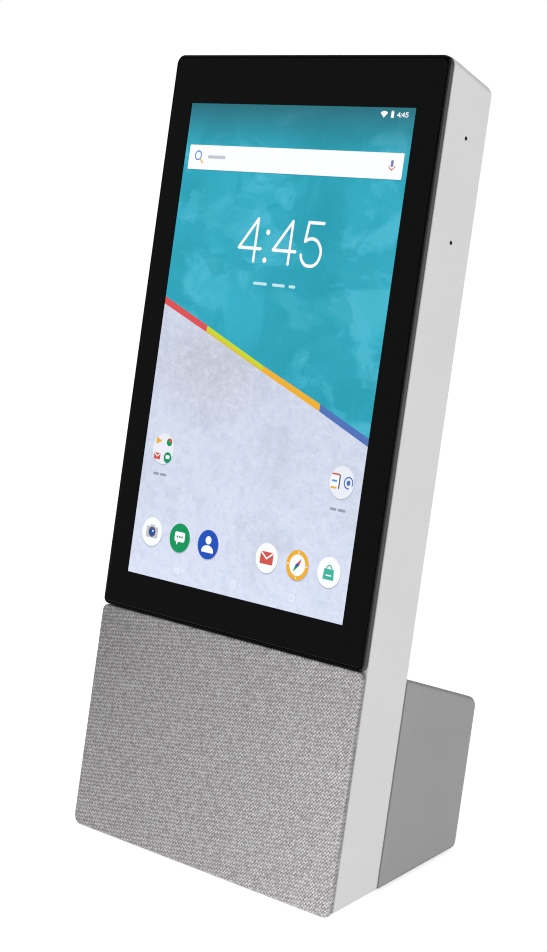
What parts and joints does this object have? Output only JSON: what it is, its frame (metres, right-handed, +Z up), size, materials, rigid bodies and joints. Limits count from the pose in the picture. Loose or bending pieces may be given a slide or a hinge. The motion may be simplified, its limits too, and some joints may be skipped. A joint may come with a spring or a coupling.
{
  "type": "smart display",
  "caption": "Tall smart display that leans back on a wedge base, with a touch screen above a cloth loudspeaker grille and keys along its sloped top.",
  "frame": {"origin": "centre of the bounding box of the whole object, at the height of the surface it stands on", "axes": "+Z up, the longest extent; -Y the way the screen faces, so +Y runs front to back, the shortest extent; +X to the right as seen from the front"},
  "size_m": [0.114, 0.094, 0.2392],
  "materials": {
    "cover_glass": "polished, near black where the edge is printed",
    "frame_plastic": "dark grey, fine satin",
    "display_panel": "lit picture in teal and pale grey",
    "film_white": "white light guide",
    "steel_sheet": "pressed sheet",
    "cast_alloy": "die cast",
    "shell_white": "white, fine moulded grain",
    "base_grey": "mid grey, fine moulded grain",
    "dark_plastic": "dark moulded plastic",
    "grille_fabric": "heather grey woven cloth, light and dark yarns",
    "circuit_board": "green solder mask",
    "battery_foil": "wrapped pouch",
    "flex_film": "amber polyimide film",
    "rubber_black": "soft, matt",
    "cone_paper": "black pressed pulp",
    "foam": "closed-cell foam",
    "wire_insulation": "stranded lead, red insulation",
    "zinc_steel": "zinc plated"
  },
  "bodies": {
    "stand": {"cover_glass": "cover_glass", "display_frame": "frame_plastic", "lcd_panel": "display_panel", "backlight_unit": "film_white", "backlight_tray": "steel_sheet", "speaker_left_frame": "steel_sheet", "speaker_right_frame": "steel_sheet", "usb_port_shell": "steel_sheet", "power_switch": "steel_sheet", "volume_up_switch": "steel_sheet", "volume_down_switch": "steel_sheet", "mute_switch": "steel_sheet", "midframe": "cast_alloy", "heat_spreader": "cast_alloy", "slab_housing": "shell_white", "base_housing": "base_grey", "grille_carrier": "dark_plastic", "speaker_baffle": "dark_plastic", "speaker_enclosure": "dark_plastic", "bottom_plate": "dark_plastic", "grille_cloth": "grille_fabric", "main_board": "circuit_board", "mic_board_left": "circuit_board", "mic_board_right": "circuit_board", "button_board": "circuit_board", "port_board": "circuit_board", "battery_pack": "battery_foil", "display_flex": "flex_film", "antenna_left": "flex_film", "antenna_right": "flex_film", "foot_front": "rubber_black", "foot_rear": "rubber_black", "speaker_left_surround": "rubber_black", "speaker_right_surround": "rubber_black", "baffle_gasket": "foam", "power_harness": "wire_insulation", "speaker_lead_left": "wire_insulation", "speaker_lead_right": "wire_insulation", "speaker_left_magnet": "zinc_steel", "speaker_right_magnet": "zinc_steel", "shield_can_processor": "zinc_steel", "shield_can_radio": "zinc_steel", "midframe_screw_1": "zinc_steel", "midframe_screw_2": "zinc_steel", "midframe_screw_3": "zinc_steel", "midframe_screw_4": "zinc_steel", "baffle_screw_1": "zinc_steel", "baffle_screw_2": "zinc_steel", "bottom_screw_1": "zinc_steel", "bottom_screw_2": "zinc_steel", "bottom_screw_3": "zinc_steel", "bottom_screw_4": "zinc_steel"},
    "power_key": {"power_button": "shell_white"},
    "volume_up_key": {"volume_up_button": "shell_white"},
    "volume_down_key": {"volume_down_button": "shell_white"},
    "mute_knob": {"mic_mute_slider": "rubber_black"},
    "left_cone": {"speaker_left_cone": "cone_paper"},
    "right_cone": {"speaker_right_cone": "cone_paper"}
  },
  "joints": [
    {"name": "power_press", "type": "slide", "parent": "stand", "child": "power_key", "axis": [0, -0.5642, -0.8256], "range_m": [0, 0.0004], "stiffness_N_per_m": 1500},
    {"name": "volume_up_press", "type": "slide", "parent": "stand", "child": "volume_up_key", "axis": [0, -0.5642, -0.8256], "range_m": [0, 0.0004], "stiffness_N_per_m": 1500},
    {"name": "volume_down_press", "type": "slide", "parent": "stand", "child": "volume_down_key", "axis": [0, -0.5642, -0.8256], "range_m": [0, 0.0004], "stiffness_N_per_m": 1500},
    {"name": "mute_slide", "type": "slide", "parent": "stand", "child": "mute_knob", "axis": [1, 0, 0], "range_m": [0, 0.0025]},
    {"name": "left_cone_stroke", "type": "slide", "parent": "stand", "child": "left_cone", "axis": [0, 0.9529, -0.3032], "range_m": [-0.001, 0.001], "stiffness_N_per_m": 1500},
    {"name": "right_cone_stroke", "type": "slide", "parent": "stand", "child": "right_cone", "axis": [0, 0.9529, -0.3032], "range_m": [-0.001, 0.001], "stiffness_N_per_m": 1500}
  ]
}
